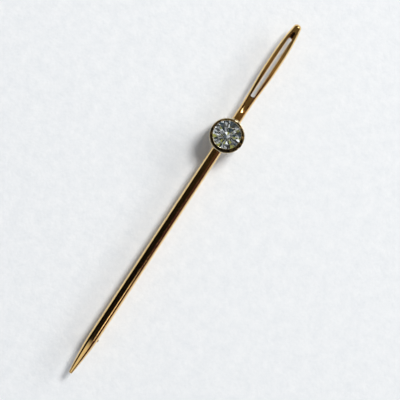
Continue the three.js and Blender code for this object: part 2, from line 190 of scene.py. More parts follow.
def gold(name, colour, dulled_colour, gloss, cloud, along=(1, 1, 1), line_depth=0.05, line_size=9000.0):
    """A polished gold alloy. Along stretches its lines the way that the surface was rubbed."""
    material = bpy.data.materials.new(name)
    material.use_nodes = True
    nodes, links = material.node_tree.nodes, material.node_tree.links
    shader = nodes["Principled BSDF"]
    shader.inputs["Metallic"].default_value = 1.0
    place = nodes.new("ShaderNodeTexCoord")
    rubbed = value_node(nodes, "ShaderNodeMapping", Scale=along)
    marks = nodes.new("ShaderNodeGroup")
    marks.node_tree = polish_marks
    marks.inputs["Gloss"].default_value = gloss
    marks.inputs["Cloud"].default_value = cloud
    marks.inputs["Line Size"].default_value = line_size
    tint = nodes.new("ShaderNodeMix")
    tint.data_type = "RGBA"
    tint.inputs["A"].default_value = (*colour, 1)
    tint.inputs["B"].default_value = (*dulled_colour, 1)
    bump = value_node(nodes, "ShaderNodeBump", Strength=line_depth, Distance=0.002 * mm)
    links.new(place.outputs["Object"], rubbed.inputs["Vector"])
    links.new(rubbed.outputs["Vector"], marks.inputs["Place"])
    links.new(marks.outputs["Roughness"], shader.inputs["Roughness"])
    links.new(marks.outputs["Dulled"], tint.inputs["Factor"])
    links.new(tint.outputs["Result"], shader.inputs["Base Color"])
    links.new(marks.outputs["Height"], bump.inputs["Height"])
    links.new(bump.outputs["Normal"], shader.inputs["Normal"])
    return material


needle_gold = gold("needle_gold", (0.93, 0.66, 0.30), (0.84, 0.55, 0.24), 0.07, 0.05, along=(0.06, 1, 1))


def fitted(piece, material, body, slot, *nodes):
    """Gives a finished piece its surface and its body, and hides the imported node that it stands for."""
    piece.data.materials.clear()
    piece.data.materials.append(material)
    if nodes:
        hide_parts(*nodes)
    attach(piece, body)
    return piece


fitted(shaft, needle_gold, "bar", "yellow_gold", "shaft")


# The eye bar: the head half of the needle.
# One bar, forged a little wider than the shaft, pierced with a long eye and cut with gutters that run
# out of both the eye's ends on both faces. The eye's edges are rounded where the buff went over them.

eye_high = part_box("eye_bar")[1]
head_x = eye_high.x
belly_radius = eye_high.y
head_cap = 0.5 * mm
head_radius = 0.55 * mm
half_height = 0.64 * mm
belly_at = 6.4 * mm
neck_at = 13.2 * mm
neck_radius = 0.63 * mm
eye_top = 2.29 * mm
eye_top_radius = 0.24 * mm
eye_foot = 11.05 * mm
eye_foot_radius = 0.25 * mm
eye_bow = 0.355 * mm
gutter_length = 2.5 * mm
top_gutter_length = 1.0 * mm
gutter_rise = 0.64 * mm
gutter_sweep = 2.3
edge_round = 0.08 * mm
eye_waist = 0.36
waist_start = 0.9 * mm
floor_steps = 24
outer_steps = 30


def half_width(along):
    """Half the head bar's width, at a distance from the head's tip."""
    if along <= head_cap:
        return head_radius * math.sqrt(max(0, 1 - (1 - along / head_cap) ** 2))
    if along <= belly_at:
        share = (along - head_cap) / (belly_at - head_cap)
        return belly_radius - (belly_radius - head_radius) * (1 - share) ** 3
    if along <= neck_at:
        share = (along - belly_at) / (neck_at - belly_at)
        return neck_radius + (belly_radius - neck_radius) * 0.5 * (1 + math.cos(math.pi * share))
    return neck_radius


def eye_half_width(along):
    """Half the eye's opening half way through the bar, or none where the bar is solid."""
    if along < eye_top:
        return math.sqrt(max(0, eye_top_radius ** 2 - (eye_top - along) ** 2))
    if along > eye_foot:
        return math.sqrt(max(0, eye_foot_radius ** 2 - (along - eye_foot) ** 2))
    t = (along - eye_top) / (eye_foot - eye_top)
    return curve_point(t, eye_top_radius, eye_bow, eye_foot_radius)


def gutter_floor(along, across):
    """How high a gutter's floor lies above the bar's middle. The long one sweeps up steeply at its end."""
    if along < eye_top:
        eye_end = math.sqrt(max(0, eye_top_radius ** 2 - across ** 2))
        return gutter_rise * max(0, (eye_top - along - eye_end) / top_gutter_length)
    eye_end = math.sqrt(max(0, eye_foot_radius ** 2 - across ** 2))
    return gutter_rise * max(0, (along - eye_foot - eye_end) / gutter_length) ** gutter_sweep


def resampled(path, count):
    """A path as a number of points at equal steps along it."""
    steps = [0]
    for (y0, z0), (y1, z1) in zip(path, path[1:]):
        steps.append(steps[-1] + math.hypot(y1 - y0, z1 - z0))
    points = []
    for i in range(count):
        goal = steps[-1] * i / (count - 1)
        k = max(1, next((j for j in range(1, len(steps)) if steps[j] >= goal), len(steps) - 1))
        span = steps[k] - steps[k - 1]
        share = (goal - steps[k - 1]) / span if span > 0 else 0
        points.append(tuple(a + (b - a) * share for a, b in zip(path[k - 1], path[k])))
    return points


def quarter_section(along):
    """A quarter of the bar's cross-section: up the eye's wall or the gutter, then round the outside.

    The eye's walls swell a little inwards, so that it is narrowest half way through the bar.
    """
    width = max(half_width(along), 1e-6 * mm)
    height = min(width, half_height)
    top = lambda y: height * math.sqrt(max(0, 1 - (y / width) ** 2))
    opening = eye_half_width(along)
    if eye_top <= along <= eye_foot:
        narrowed = min(1, (along - eye_top) / waist_start, (eye_foot - along) / waist_start)
        rim, floor = opening, [(opening * (1 - eye_waist * math.sin(math.pi / 2 * narrowed)), 0)]
    else:
        floor = []
        gutter_edge = eye_top_radius if along < eye_top else eye_foot_radius
        for i in range(floor_steps + 1):
            y = opening + (gutter_edge - opening) * i / floor_steps
            if gutter_floor(along, y) >= top(y):
                break
            floor.append((y, gutter_floor(along, y)))
        rim = floor[-1][0] if floor else 0
        floor = floor or [(0, top(0))]
    wall = top(rim) - floor[-1][1]
    rounding = min(edge_round, 0.6 * wall)
    inner = resampled([(0, 0), floor[0]], 4) if opening == 0 else [floor[0]] * 4
    if wall > 0:
        inner += resampled([*floor, (rim, top(rim) - rounding)], 16)
    else:
        inner += [(rim, top(rim))] * 16
    if rim == 0:
        rounding = 0
    outer = []
    first = math.asin(min(1, rim / width))
    for i in range(1, outer_steps + 1):
        share = i / outer_steps
        turn = first + (math.pi / 2 - first) * share ** 1.5
        y = width * math.sin(turn)
        past = y - rim
        drop = 0
        if past < rounding:
            drop = rounding - math.sqrt(max(0, rounding ** 2 - (rounding - past) ** 2))
        outer.append((y, max(0, height * math.cos(turn) - drop) if i < outer_steps else 0))
    return inner + outer


def stations_between(start, end, count, ease=False):
    """Places along the bar after a start and up to an end, closer together at both if eased."""
    shares = [(i + 1) / count for i in range(count)]
    if ease:
        shares = [0.5 - 0.5 * math.cos(math.pi * s) for s in shares]
    return [start + (end - start) * s for s in shares]


neck_end = head_x - collet_x - collet_radius - solder_gap
eye_start = eye_top - eye_top_radius
eye_end = eye_foot + eye_foot_radius
top_gutter_end = eye_start - top_gutter_length
gutter_end = eye_end + 2.4 * mm
eye_stations = [0.0005 * mm]
eye_stations += [head_cap * (1 - math.cos(math.pi / 2 * i / 12)) for i in range(1, 13)]
eye_stations += stations_between(head_cap, top_gutter_end, 4)
eye_stations += stations_between(top_gutter_end, eye_start, 22)
eye_stations += stations_between(eye_start, eye_top, 10, ease=True)
eye_stations += stations_between(eye_top, eye_foot, 46)
eye_stations += stations_between(eye_foot, eye_end, 8, ease=True)
eye_stations += stations_between(eye_end, gutter_end, 36)
eye_stations += stations_between(gutter_end, neck_end, 6)

sections = [quarter_section(along) for along in eye_stations]
deselect()
columns = len(sections[0])
bpy.ops.mesh.primitive_grid_add(
    x_subdivisions=columns - 1, y_subdivisions=len(eye_stations) - 1, size=1)
eye_bar = bpy.context.object
eye_bar.name = "needle_eye_bar"
cope_length = 0.5 * mm
for k, v in enumerate(eye_bar.data.vertices):
    along = eye_stations[k // columns]
    y, z = sections[k // columns][k % columns]
    near_collet = max(0, 1 - (neck_end - along) / cope_length)
    hollow = collet_radius - math.sqrt(collet_radius ** 2 - y ** 2)
    v.co = (head_x - along - near_collet * hollow, y, axis_z + z)

for face in eye_bar.data.polygons:
    face.select = all(abs(eye_bar.data.vertices[i].co.y) < 1e-9 for i in face.vertices)
for edge in eye_bar.data.edges:
    edge.select = False
for v in eye_bar.data.vertices:
    v.select = False
bpy.context.tool_settings.mesh_select_mode = (False, False, True)
for face in eye_bar.data.polygons:
    if face.select:
        for i in face.vertices:
            eye_bar.data.vertices[i].select = True
bpy.ops.object.mode_set(mode="EDIT")
bpy.ops.mesh.delete(type="FACE")
bpy.ops.object.mode_set(mode="OBJECT")
bpy.context.tool_settings.mesh_select_mode = (True, False, False)


def mirrored(piece, axis, height):
    """Adds the other half of a symmetrical piece."""
    mirror = piece.modifiers.new("other_half", "MIRROR")
    mirror.use_axis = tuple(a == axis for a in "xyz")
    mirror.use_clip = False
    mirror.merge_threshold = 4e-7
    piece.data.transform(Matrix.Translation((0, 0, -height)))
    bpy.ops.object.modifier_apply(modifier=mirror.name)
    piece.data.transform(Matrix.Translation((0, 0, height)))


mirrored(eye_bar, "y", 0)
mirrored(eye_bar, "z", axis_z)
bpy.ops.object.mode_set(mode="EDIT")
bpy.ops.mesh.select_all(action="SELECT")
bpy.ops.mesh.remove_doubles(threshold=4e-7)
bpy.ops.mesh.select_all(action="DESELECT")
bpy.ops.mesh.select_non_manifold(extend=False, use_wire=False, use_boundary=True,
                                 use_multi_face=False, use_non_contiguous=False, use_verts=False)
bpy.ops.mesh.edge_face_add()
bpy.ops.mesh.poke()
bpy.ops.object.mode_set(mode="OBJECT")
cleaned(eye_bar)
fitted(eye_bar, needle_gold, "bar", "yellow_gold", "eye_bar")


# The collet: a straight tube of pale gold, open at the front.
# Its upper edge was pushed over the stone's crown with a burnisher and then trimmed, which leaves a
# rounded bright rim, a little wider on one side, with faint flats where each stroke pressed it.

def drawn_outline(name, outline, closed=True):
    """A chain of corners drawn from point to point: distance from the axis, and height along it."""
    deselect()
    bpy.ops.mesh.primitive_plane_add(size=1)
    chain = bpy.context.object
    chain.name = name
    bpy.ops.object.mode_set(mode="EDIT")
    bpy.ops.mesh.select_all(action="SELECT")
    bpy.ops.mesh.merge(type="CENTER")
    previous = (0, 0)
    for k, (out, up) in enumerate([*outline, outline[0]] if closed else outline):
        step = (out - previous[0], 0, up - previous[1])
        if k == 0:
            bpy.ops.transform.translate(value=step)
        else:
            bpy.ops.mesh.extrude_vertices_move(TRANSFORM_OT_translate={"value": step})
        previous = (out, up)
    bpy.ops.mesh.select_all(action="SELECT")
    bpy.ops.mesh.remove_doubles(threshold=1e-8)
    return chain


def turned(name, outline, centre, axis="z", steps=96, closed=True):
    """A piece turned on the lathe. The outline is in millimetres, and centre is where its axis starts."""
    piece = drawn_outline(name, [(r * mm, h * mm) for r, h in outline], closed)
    bpy.ops.mesh.select_all(action="SELECT")
    bpy.ops.mesh.spin(steps=steps, angle=2 * math.pi, center=(0, 0, 0), axis=(0, 0, 1))
    bpy.ops.object.mode_set(mode="OBJECT")
    if axis == "y":
        piece.data.transform(Matrix.Rotation(-math.pi / 2, 4, "X"))
    if axis == "x":
        piece.data.transform(Matrix.Rotation(math.pi / 2, 4, "Y"))
    piece.data.transform(Matrix.Translation(centre))
    return cleaned(piece)


def arc(centre_r, centre_h, radius_r, radius_h, start, end, steps=6):
    """Part of an ellipse in an outline, in degrees from the outward direction."""
    turns = [math.radians(start + (end - start) * i / steps) for i in range(steps + 1)]
    return [(centre_r + radius_r * math.cos(t), centre_h + radius_h * math.sin(t)) for t in turns]


collet_base = wall_low.z
rim_top = (wall_high.z - wall_low.z) / mm
seat_bore = 2.07
outside = collet_radius / mm
lip = 1.85
girdle_top = 2.83
rim_shift_x = 0.110 * mm
rim_shift_y = 0.072 * mm
stroke_depth = 0.002 * mm

wall_outline = [(seat_bore, 0.04), (seat_bore + 0.04, 0), *arc(outside - 0.05, 0.05, 0.05, 0.05, -90, 0, 3)]
wall_outline += [(outside, rim_top - 0.30), (outside - 0.006, rim_top - 0.18)]
wall_outline += arc(outside - 0.13, rim_top - 0.11, 0.12, 0.11, 5, 84, 8)
wall_outline += [(outside - 0.15, rim_top), (outside - 0.19, rim_top)]
wall_outline += [(lip + 0.10, rim_top), (lip + 0.07, rim_top)]
wall_outline += arc(lip + 0.055, rim_top - 0.05, 0.055, 0.05, 95, 180, 6)
wall_outline += [(lip + 0.004, girdle_top + 0.20), (seat_bore, girdle_top + 0.02)]
collet = turned("collet", wall_outline, (collet_x, 0, collet_base), steps=128)
for v in collet.data.vertices:
    away = Vector((v.co.x - collet_x, v.co.y))
    height = (v.co.z - collet_base) / mm
    if height > girdle_top and away.length < (outside - 0.2) * mm:
        share = min(1, (outside * mm - away.length) / (0.35 * mm))
        v.co.x += rim_shift_x * share
        v.co.y += rim_shift_y * share
    if height > rim_top - 0.25:
        turn = math.atan2(away.y, away.x)
        press = math.sin(11 * turn) + 0.7 * math.sin(17 * turn + 1.3) + 0.5 * math.sin(29 * turn + 0.4)
        v.co.z -= stroke_depth * (1 + press / 2.2)

rim_gold = gold("rim_gold", (0.90, 0.82, 0.62), (0.80, 0.71, 0.50), 0.03, 0.03, line_size=5200.0)
fitted(collet, rim_gold, "bar", "pale_gold", "collet_wall")


# The bearing and the back ring: two rings soldered inside the tube.
# The upper one is cut to a slope that carries the stone's pavilion, and its burnished face is the gold
# that shows through the stone. The lower one closes the tube and leaves a hole for cleaning.

seat_low, seat_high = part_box("seat_ring")
seat_out = (seat_high.x - seat_low.x) / 2 / mm
seat_tall = (seat_high.z - seat_low.z) / mm
seat_in = seat_out - 0.43
seat_outline = [(seat_in + 0.03, 0), (seat_out - 0.02, 0), (seat_out, 0.02), (seat_out, seat_tall)]
seat_outline += [(seat_out - 0.02, seat_tall - 0.018), (seat_in + 0.03, seat_tall - 0.37)]
seat_outline += [(seat_in + 0.008, seat_tall - 0.40), (seat_in, seat_tall - 0.44), (seat_in, 0.03)]
bearing = turned("bearing_ring", seat_outline, (collet_x, 0, seat_low.z), steps=96)
cup_gold = gold("cup_gold", (0.93, 0.74, 0.26), (0.86, 0.64, 0.2), 0.14, 0.08, line_size=7000.0)
fitted(bearing, cup_gold, "bar", "yellow_gold", "seat_ring")

back_low, back_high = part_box("back_ring")
back_out = (back_high.x - back_low.x) / 2 / mm
back_tall = (back_high.z - back_low.z) / mm
back_in = 1.25
back_outline = [*arc(back_in + 0.06, 0.06, 0.06, 0.06, 180, 270, 4), (back_out - 0.02, 0), (back_out, 0.02)]
back_outline += [(back_out, back_tall), *arc(back_in + 0.06, back_tall - 0.06, 0.06, 0.06, 90, 180, 4)]
back_ring = turned("back_ring_plate", back_outline, (collet_x, 0, back_low.z), steps=96)
back_gold = gold("back_gold", (0.90, 0.65, 0.32), (0.80, 0.54, 0.25), 0.16, 0.12, line_size=6000.0)
fitted(back_ring, back_gold, "bar", "yellow_gold", "back_ring")


# The diamond: a quarter-carat round brilliant.
# It is cut as on the wheel: a round blank is given its table, 8 kites, 8 stars and 16 halves above the
# girdle, then 8 mains and 16 halves below. The girdle between them is left finely frosted.

stone_low, stone_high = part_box("diamond")
stone_radius = (stone_high.x - stone_low.x) / 2
table_z = stone_high.z
culet_z = stone_low.z
table_radius = 0.57 * stone_radius
blank_spare = 0.2 * mm
crown_slope = math.tan(math.radians(34))
pavilion_slope = math.tan(math.radians(41))
crown_foot = table_z - (stone_radius - table_radius) * crown_slope
pavilion_top = culet_z + stone_radius * pavilion_slope

deselect()
bpy.ops.mesh.primitive_cylinder_add(
    vertices=96, radius=stone_radius, depth=table_z - culet_z + blank_spare,
    location=(collet_x, 0, (table_z + culet_z) / 2))
diamond = bpy.context.object
diamond.name = "brilliant"
keep_place()
bpy.ops.object.mode_set(mode="EDIT")


def corner(radius, eighths, height):
    """A corner of the stone, by its distance from the axis, its eighths of a turn and its height."""
    turn = math.pi / 4 * eighths
    return Vector((collet_x + radius * math.cos(turn), radius * math.sin(turn), height))


def facet(a, b, c):
    """One touch of the wheel: the plane through three corners, with all outside it ground away."""
    facing = (b - a).cross(c - a).normalized()
    if facing.dot(a - Vector((collet_x, 0, (crown_foot + pavilion_top) / 2))) < 0:
        facing.negate()
    bpy.ops.mesh.select_all(action="SELECT")
    bpy.ops.mesh.bisect(plane_co=a, plane_no=facing, use_fill=True, clear_outer=True, threshold=1e-8)


half_step = math.cos(math.pi / 8)
star_foot = table_radius * half_step
star_tip = star_foot + 0.5 * (stone_radius - star_foot)
lower_tip = 0.24 * stone_radius
star_height = crown_foot + (stone_radius - star_tip * half_step) * crown_slope
lower_height = pavilion_top - (stone_radius - lower_tip * half_step) * pavilion_slope
flat_corner = Vector((collet_x, 0, table_z))
facet(flat_corner, flat_corner + Vector((mm, 0, 0)), flat_corner + Vector((0, mm, 0)))
culet = corner(0, 0, culet_z)
star_tips = [corner(star_tip, k + 0.5, star_height) for k in range(8)]
half_tips = [corner(lower_tip, k + 0.5, lower_height) for k in range(8)]
for k in range(8):
    facet(corner(table_radius, k, table_z), star_tips[k], corner(stone_radius, k, crown_foot))
    facet(half_tips[k], corner(stone_radius, k, pavilion_top), culet)
for k in range(8):
    facet(corner(table_radius, k, table_z), corner(table_radius, k + 1, table_z), star_tips[k])
    for side in (0, 1):
        for tip, height in ((star_tips[k], crown_foot), (half_tips[k], pavilion_top)):
            facet(tip, corner(stone_radius, k + side, height), corner(stone_radius, k + 0.5, height))
bpy.ops.mesh.select_all(action="SELECT")
bpy.ops.mesh.remove_doubles(threshold=1e-8)
bpy.ops.mesh.normals_make_consistent(inside=False)
bpy.ops.object.mode_set(mode="OBJECT")


def stone_surface(name, colour, roughness):
    """Diamond with a surface of one smoothness."""
    material = bpy.data.materials.new(name)
    material.use_nodes = True
    shader = material.node_tree.nodes["Principled BSDF"]
    shader.inputs["Base Color"].default_value = (*colour, 1)
    shader.inputs["Roughness"].default_value = roughness
    shader.inputs["IOR"].default_value = 2.417
    shader.inputs["Transmission Weight"].default_value = 1.0
    return material


diamond_clear = stone_surface("diamond_clear", (0.985, 0.992, 1.0), 0.0)
girdle_frost = stone_surface("girdle_frost", (0.93, 0.95, 0.97), 0.45)
fitted(diamond, diamond_clear, "bar", "stone", "diamond")
diamond.data.materials.append(girdle_frost)
for face in diamond.data.polygons:
    face.use_smooth = False
    if abs(face.normal.z) < 0.02:
        face.material_index = 1


# Solder: a thin fillet of paler gold where each piece was soldered on.
# It flowed round the seam of a joint and was left a little uneven. One runs round each bar's end at
# the collet, one round the pin wire at its knuckle.

solder_gold = gold("solder_gold", (0.88, 0.72, 0.40), (0.74, 0.56, 0.28), 0.2, 0.15, line_size=5000.0)


def solder_ring(name, radius, thick, bend, height, body):
    """A bead round a rod along X. Bend gives how far along X its middle lies at a place across the rod."""
    deselect()
    bpy.ops.mesh.primitive_torus_add(
        major_segments=72, minor_segments=14, major_radius=radius, minor_radius=thick,
        location=(0, 0, 0), rotation=(0, math.pi / 2, 0))
    ring = bpy.context.object
    ring.name = name
    keep_place()
    for v in ring.data.vertices:
        turn = math.atan2(v.co.z, v.co.y)
        swell = 1 + 0.16 * math.sin(3 * turn + radius * 9000) + 0.1 * math.sin(7 * turn)
        v.co.x = v.co.x * swell
        v.co.x += bend(v.co.y, v.co.z)
        v.co.z += height
    cleaned(ring)
    return fitted(ring, solder_gold, body, "hard_gold" if body == "stem" else "yellow_gold")


solder_ring("solder_shaft", shaft_radius, 0.075 * mm,
            lambda y, z: collet_x - math.sqrt(collet_radius ** 2 - y ** 2), axis_z, "bar")
solder_ring("solder_neck", neck_radius, 0.08 * mm,
            lambda y, z: collet_x + math.sqrt(collet_radius ** 2 - y ** 2), axis_z, "bar")


# The hinge: a saddle plate under the shaft with two short tubes soldered to it.
# Between them turns a third tube, soldered to the pin wire, and a rivet through all three has a small
# domed head hammered up at each end.

plate_low, plate_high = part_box("joint_plate")
hinge_x = (plate_low.x + plate_high.x) / 2
rivet_low, rivet_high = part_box("joint_rivet")
hinge_z = (rivet_low.z + rivet_high.z) / 2
knuckle_low, knuckle_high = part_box("knuckle_left")
knuckle_radius = (knuckle_high.x - knuckle_low.x) / 2


def cut_away(piece, cutter):
    """Takes one shape out of another."""
    cut = piece.modifiers.new("cut", "BOOLEAN")
    cut.operation = "DIFFERENCE"
    cut.solver = "EXACT"
    cut.object = cutter
    bpy.ops.object.select_all(action="DESELECT")
    bpy.context.view_layer.objects.active = piece
    piece.select_set(True)
    bpy.ops.object.modifier_apply(modifier=cut.name)
    bpy.data.objects.remove(cutter, do_unlink=True)


def edges_eased(piece, width, segments=3, angle=35):
    """Rounds every sharp edge over, as the buff does."""
    ease = piece.modifiers.new("eased", "BEVEL")
    ease.width = width
    ease.segments = segments
    ease.limit_method = "ANGLE"
    ease.angle_limit = math.radians(angle)
    bpy.context.view_layer.objects.active = piece
    bpy.ops.object.modifier_apply(modifier=ease.name)


def block(name, middle, size):
    """A squared-up block of metal."""
    deselect()
    bpy.ops.mesh.primitive_cube_add(size=1, location=middle, scale=size)
    piece = bpy.context.object
    piece.name = name
    keep_place()
    return piece


def corners_rounded(piece, chosen, width, segments):
    """Rounds over those edges of a block whose two ends answer to chosen."""
    for edge in piece.data.edges:
        edge.select = chosen(*(piece.data.vertices[i].co for i in edge.vertices))
    for v in piece.data.vertices:
        v.select = False
    for face in piece.data.polygons:
        face.select = False
    bpy.context.tool_settings.mesh_select_mode = (False, True, False)
    bpy.ops.object.mode_set(mode="EDIT")
    bpy.ops.mesh.bevel(offset=width, segments=segments, affect="EDGES", clamp_overlap=False)
    bpy.ops.object.mode_set(mode="OBJECT")
    bpy.context.tool_settings.mesh_select_mode = (True, False, False)


def upright(a, b):
    """Whether an edge runs straight up."""
    return abs(a.x - b.x) < 1e-7 and abs(a.y - b.y) < 1e-7


plate_corner = 0.25 * mm
cutter_length = 6 * mm
quarter_turn = math.pi / 2

saddle = block("hinge_plate", (plate_low + plate_high) / 2, plate_high - plate_low)
corners_rounded(saddle, upright, plate_corner, 8)
for radius, height, rotation in (
        (shaft_radius, axis_z, (0, quarter_turn, 0)), (knuckle_radius, hinge_z, (quarter_turn, 0, 0))):
    deselect()
    bpy.ops.mesh.primitive_cylinder_add(
        vertices=96, radius=radius + solder_gap, depth=cutter_length,
        location=(hinge_x, 0, height), rotation=rotation)
    cut_away(saddle, bpy.context.object)
edges_eased(saddle, 0.03 * mm, segments=2, angle=50)
cleaned(saddle)
fitting_gold = gold("fitting_gold", (0.90, 0.65, 0.32), (0.80, 0.53, 0.24), 0.13, 0.1, line_size=6500.0)
fitted(saddle, fitting_gold, "bar", "yellow_gold", "joint_plate")


def knuckle(name, outer, bore, start, end):
    """A short tube across the needle, its edges eased. Sizes are in millimetres."""
    r = 0.045
    outline = [*arc(outer - r, start + r, r, r, -90, 0, 3), *arc(outer - r, end - r, r, r, 0, 90, 3)]
    outline += [*arc(bore + 0.02, end - 0.02, 0.02, 0.02, 90, 180, 2)]
    outline += [*arc(bore + 0.02, start + 0.02, 0.02, 0.02, 180, 270, 2)]
    return turned(name, outline, (hinge_x, 0, hinge_z), axis="y", steps=64)


rivet_radius = 0.25
for name, node in (("hinge_knuckle_left", "knuckle_left"), ("hinge_knuckle_right", "knuckle_right")):
    low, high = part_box(node)
    tube = knuckle(name, knuckle_radius / mm, rivet_radius + 0.02, low.y / mm, high.y / mm)
    fitted(tube, fitting_gold, "bar", "yellow_gold", node)

stem_low, stem_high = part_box("stem_knuckle")
stem_knuckle_radius = (stem_high.x - stem_low.x) / 2
middle = knuckle("hinge_stem_knuckle", stem_knuckle_radius / mm, rivet_radius + 0.03,
                 stem_low.y / mm, stem_high.y / mm)
wire_gold = gold("wire_gold", (0.86, 0.60, 0.30), (0.74, 0.48, 0.23), 0.12, 0.1,
                 along=(0.05, 1, 1), line_depth=0.12)
fitted(middle, wire_gold, "stem", "hard_gold", "stem_knuckle")

rivet_half = rivet_high.y / mm
dome = 0.06
dome_radius = (rivet_high.x - rivet_low.x) / 2 / mm
rivet_outline = [(0, -rivet_half), *arc(0, -rivet_half + dome, dome_radius, dome, -85, 0, 8)]
rivet_outline += [(rivet_radius, -rivet_half + dome), (rivet_radius, rivet_half - dome)]
rivet_outline += [*arc(0, rivet_half - dome, dome_radius, dome, 0, 85, 8), (0, rivet_half)]
rivet = turned("hinge_rivet", rivet_outline, (hinge_x, 0, hinge_z), axis="y", steps=48, closed=False)
fitted(rivet, wire_gold, "bar", "hard_gold", "joint_rivet")


# The pin stem: a hard-drawn wire that goes through the tie.
# It is straight, filed over its last 6 mm to a sharp point, and coped and soldered to its knuckle.

wire_low, wire_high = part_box("pin_stem")
wire_radius = wire_high.y
wire_z = (wire_low.z + wire_high.z) / 2
wire_end = hinge_x - stem_knuckle_radius - solder_gap
sharp_length = 6 * mm
sharp_radius = 0.03 * mm
wire_stations = [(wire_end, wire_radius)]
wire_stations += [
    (wire_end + (wire_low.x + sharp_length - wire_end) * i / 10, wire_radius) for i in range(1, 11)]
for i in range(1, 25):
    left = 1 - i / 24
    radius = sharp_radius + (wire_radius - sharp_radius) * math.sqrt(1 - (1 - left) ** 2)
    wire_stations.append((wire_low.x + sharp_length * left, radius))
pin_wire = drawn_rod("pin_wire", wire_stations, wire_z, sides=48)
for v in pin_wire.data.vertices:
    if abs(v.co.x - wire_end) < 1e-6:
        reach = stem_knuckle_radius + solder_gap
        v.co.x = hinge_x - math.sqrt(reach ** 2 - (v.co.z - wire_z) ** 2)
fitted(pin_wire, wire_gold, "stem", "hard_gold", "pin_stem")

solder_ring("solder_stem", wire_radius, 0.05 * mm,
            lambda y, z: hinge_x - math.sqrt(stem_knuckle_radius ** 2 - z ** 2), wire_z, "stem")


# The safety catch: an outer C that stands on a small foot, and an inner C that turns in it.
# The inner one was rolled from strip and carries a thumb tab, which travels in a slot of the outer one.
# At rest the two openings line up; the tab turns the inner one away, so that the stem can't leave.

catch_low, catch_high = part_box("catch_barrel")
rotor_low, rotor_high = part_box("catch_rotor")
catch_x = (catch_low.x + catch_high.x) / 2
catch_z = wire_z
barrel_radius = catch_high.y
barrel_wall = 0.18 * mm
rotor_radius = rotor_high.y
rotor_wall = 0.15 * mm
mouth_half = 0.329 * mm
slot_half = 0.25 * mm
slot_start = 113
slot_end = 300


def rolled_strip(name, radius, wall, x_edges, mouth_half, slot=None, columns=84):
    """A strip rolled to a C that is open downwards. Slot is the part cut out: from and to, in degrees."""
    first = -90 + math.degrees(math.asin(mouth_half / radius))
    deselect()
    bpy.ops.mesh.primitive_grid_add(x_subdivisions=columns, y_subdivisions=len(x_edges) - 1, size=1)
    strip = bpy.context.object
    strip.name = name
    for k, v in enumerate(strip.data.vertices):
        turn = math.radians(first + (180 - 2 * first) * (k % (columns + 1)) / columns)
        v.co = (x_edges[k // (columns + 1)], radius * math.cos(turn), radius * math.sin(turn))
        v.select = False
    if slot:
        lowest, highest, x0, x1 = slot
        for face in strip.data.polygons:
            turn = math.degrees(math.atan2(face.center.z, face.center.y)) % 360
            face.select = lowest < turn < highest and x0 < face.center.x < x1
        bpy.context.tool_settings.mesh_select_mode = (False, False, True)
        bpy.ops.object.mode_set(mode="EDIT")
        bpy.ops.mesh.delete(type="FACE")
        bpy.ops.object.mode_set(mode="OBJECT")
        bpy.context.tool_settings.mesh_select_mode = (True, False, False)
    bpy.ops.object.mode_set(mode="EDIT")
    bpy.ops.mesh.select_all(action="SELECT")
    bpy.ops.mesh.normals_make_consistent(inside=False)
    bpy.ops.object.mode_set(mode="OBJECT")
    faces_out = sum(f.normal.y * f.center.y + f.normal.z * f.center.z for f in strip.data.polygons) > 0
    thick = strip.modifiers.new("thickness", "SOLIDIFY")
    thick.thickness = wall
    thick.offset = -1 if faces_out else 1
    bpy.ops.object.modifier_apply(modifier=thick.name)
    lowest = math.sqrt(radius ** 2 - mouth_half ** 2)
    for v in strip.data.vertices:
        away = math.hypot(v.co.y, v.co.z)
        place = radius if away > radius - wall / 2 else radius - wall
        turn = math.degrees(math.atan2(v.co.z, v.co.y)) % 360
        if place < mouth_half and v.co.z < 0:
            v.co.y = math.copysign(place, v.co.y)
            v.co.z = -lowest * (v.co.z / away) / math.sin(math.radians(first))
            v.co.z = -abs(v.co.z)
        elif abs(turn - (first % 360)) < 1.5 or abs(turn - (180 - first)) < 1.5:
            v.co.y = math.copysign(mouth_half, v.co.y)
            v.co.z = -math.sqrt(place ** 2 - mouth_half ** 2)
        else:
            v.co.y *= place / away
            v.co.z *= place / away
    strip.data.transform(Matrix.Translation((0, 0, catch_z)))
    edges_eased(strip, 0.022 * mm, segments=2, angle=40)
    return cleaned(strip)


catch_edges = [catch_low.x, catch_x - slot_half, catch_x + slot_half, catch_high.x]
outer_c = rolled_strip("catch_outer", barrel_radius, barrel_wall, catch_edges, mouth_half,
                       slot=(slot_start, slot_end, catch_x - slot_half, catch_x + slot_half))
fitted(outer_c, fitting_gold, "bar", "yellow_gold", "catch_barrel")

inner_c = rolled_strip("catch_inner", rotor_radius, rotor_wall, [rotor_low.x, rotor_high.x],
                       mouth_half, columns=72)
fitted(inner_c, wire_gold, "rotor", "hard_gold", "catch_rotor")

tab_width = 0.42 * mm
tab_thickness = 0.24 * mm
thumb_round = 0.205 * mm
tab_turn = math.radians(212)
tab_foot = rotor_radius + solder_gap
tab_reach = barrel_radius + 0.35 * mm
tab_middle = (tab_foot + tab_reach) / 2


def at_thumb_end(a, b):
    """Whether an edge is one of the long ones at the tab's free end or an upright one there."""
    return a.y > tab_middle and b.y > tab_middle and abs(a.x - b.x) < 1e-7


tab = block("catch_thumb_tab", (0, tab_middle, 0), (tab_width, tab_reach - tab_foot, tab_thickness))
corners_rounded(tab, at_thumb_end, thumb_round, 10)
edges_eased(tab, 0.03 * mm, segments=3, angle=50)
tab.data.transform(Matrix.Translation((catch_x, 0, catch_z)) @ Matrix.Rotation(tab_turn, 4, "X"))
cleaned(tab)
fitted(tab, wire_gold, "rotor", "hard_gold", "catch_lever")

